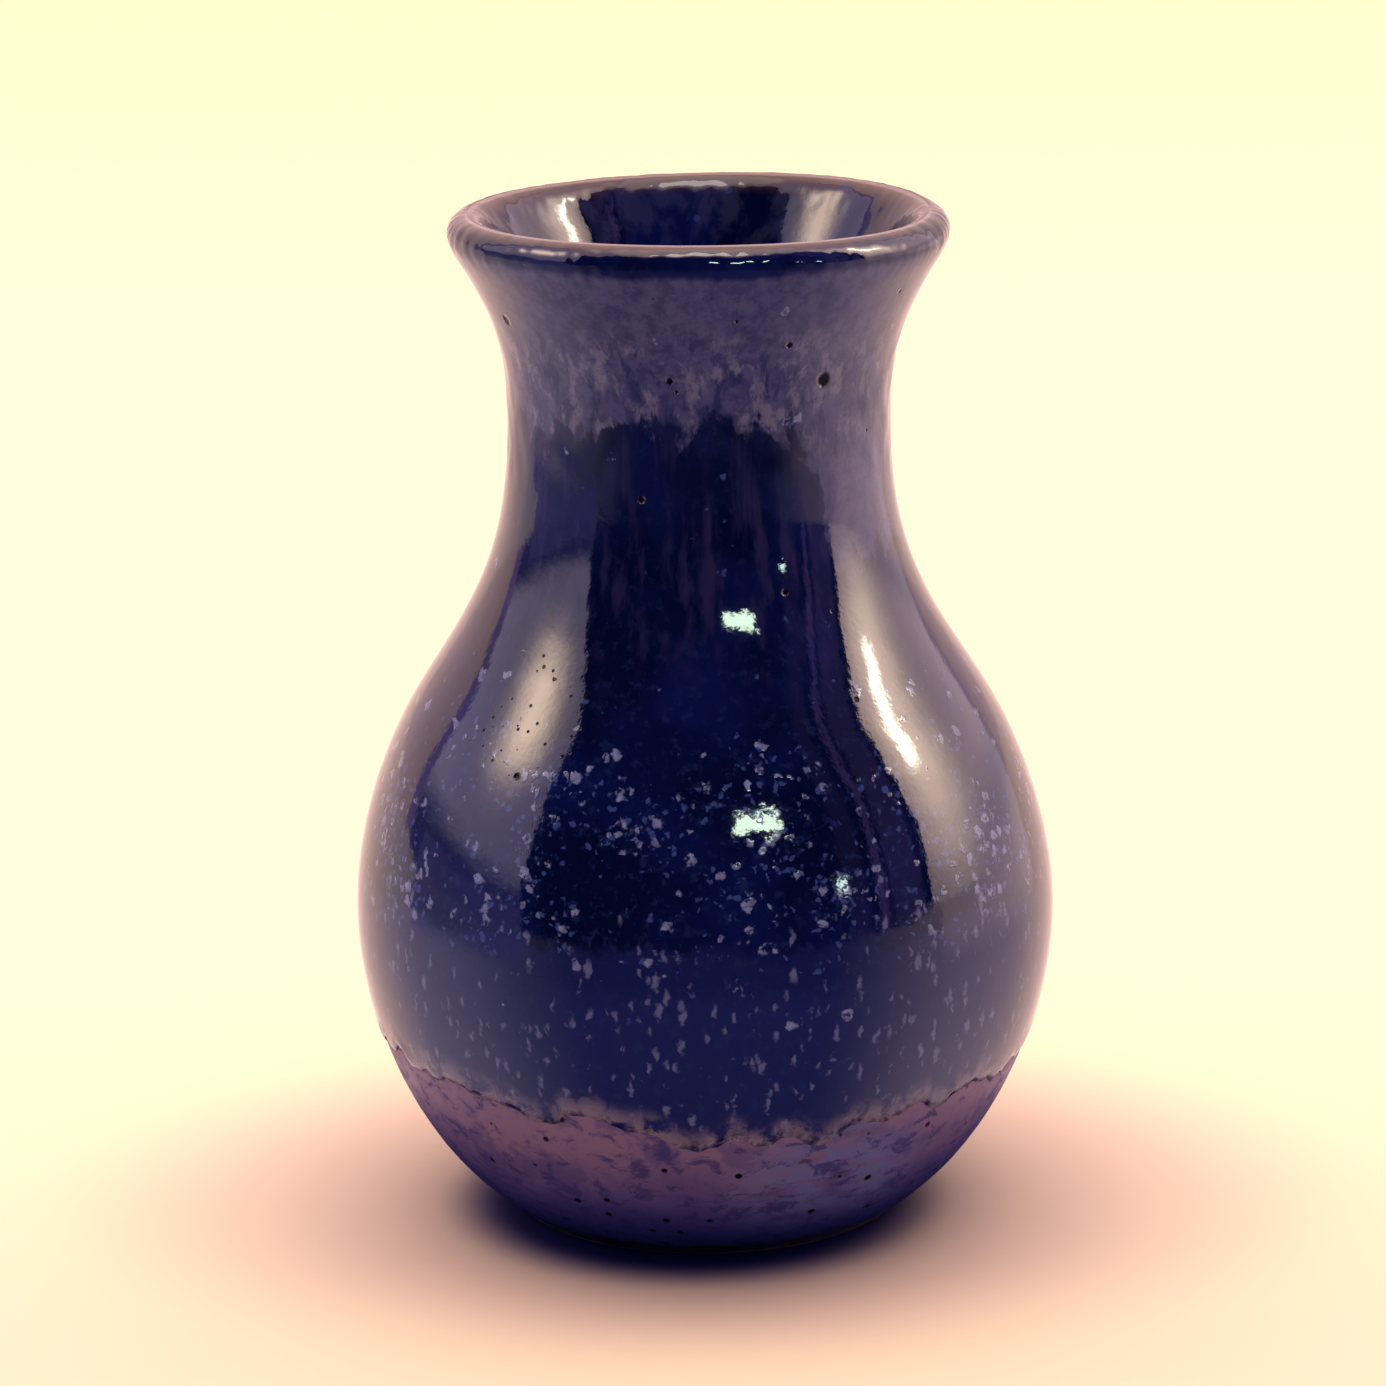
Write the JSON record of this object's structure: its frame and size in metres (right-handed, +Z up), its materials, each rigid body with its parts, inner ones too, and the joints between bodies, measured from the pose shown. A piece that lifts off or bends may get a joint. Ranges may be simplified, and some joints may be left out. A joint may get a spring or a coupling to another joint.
{
  "type": "stoneware vase",
  "caption": "Hand-thrown stoneware vase with a round belly, a narrow neck, a flared rounded lip and a turned foot ring, glazed inside and out.",
  "frame": {"origin": "centre of the foot, on the surface that the vase stands on", "axes": "+Z up along the vase's own axis; -Y is the side that faces the viewer"},
  "size_m": [0.104, 0.104, 0.15],
  "materials": {
    "clay": "matt fired stoneware",
    "wash": "satin mauve iron wash, pitted",
    "glaze": "high gloss midnight blue with pale speckles",
    "liner": "high gloss midnight blue"
  },
  "bodies": {
    "root": {"clay_body": "clay", "base_wash": "wash", "outer_glaze": "glaze", "liner_glaze": "liner"}
  },
  "joints": []
}
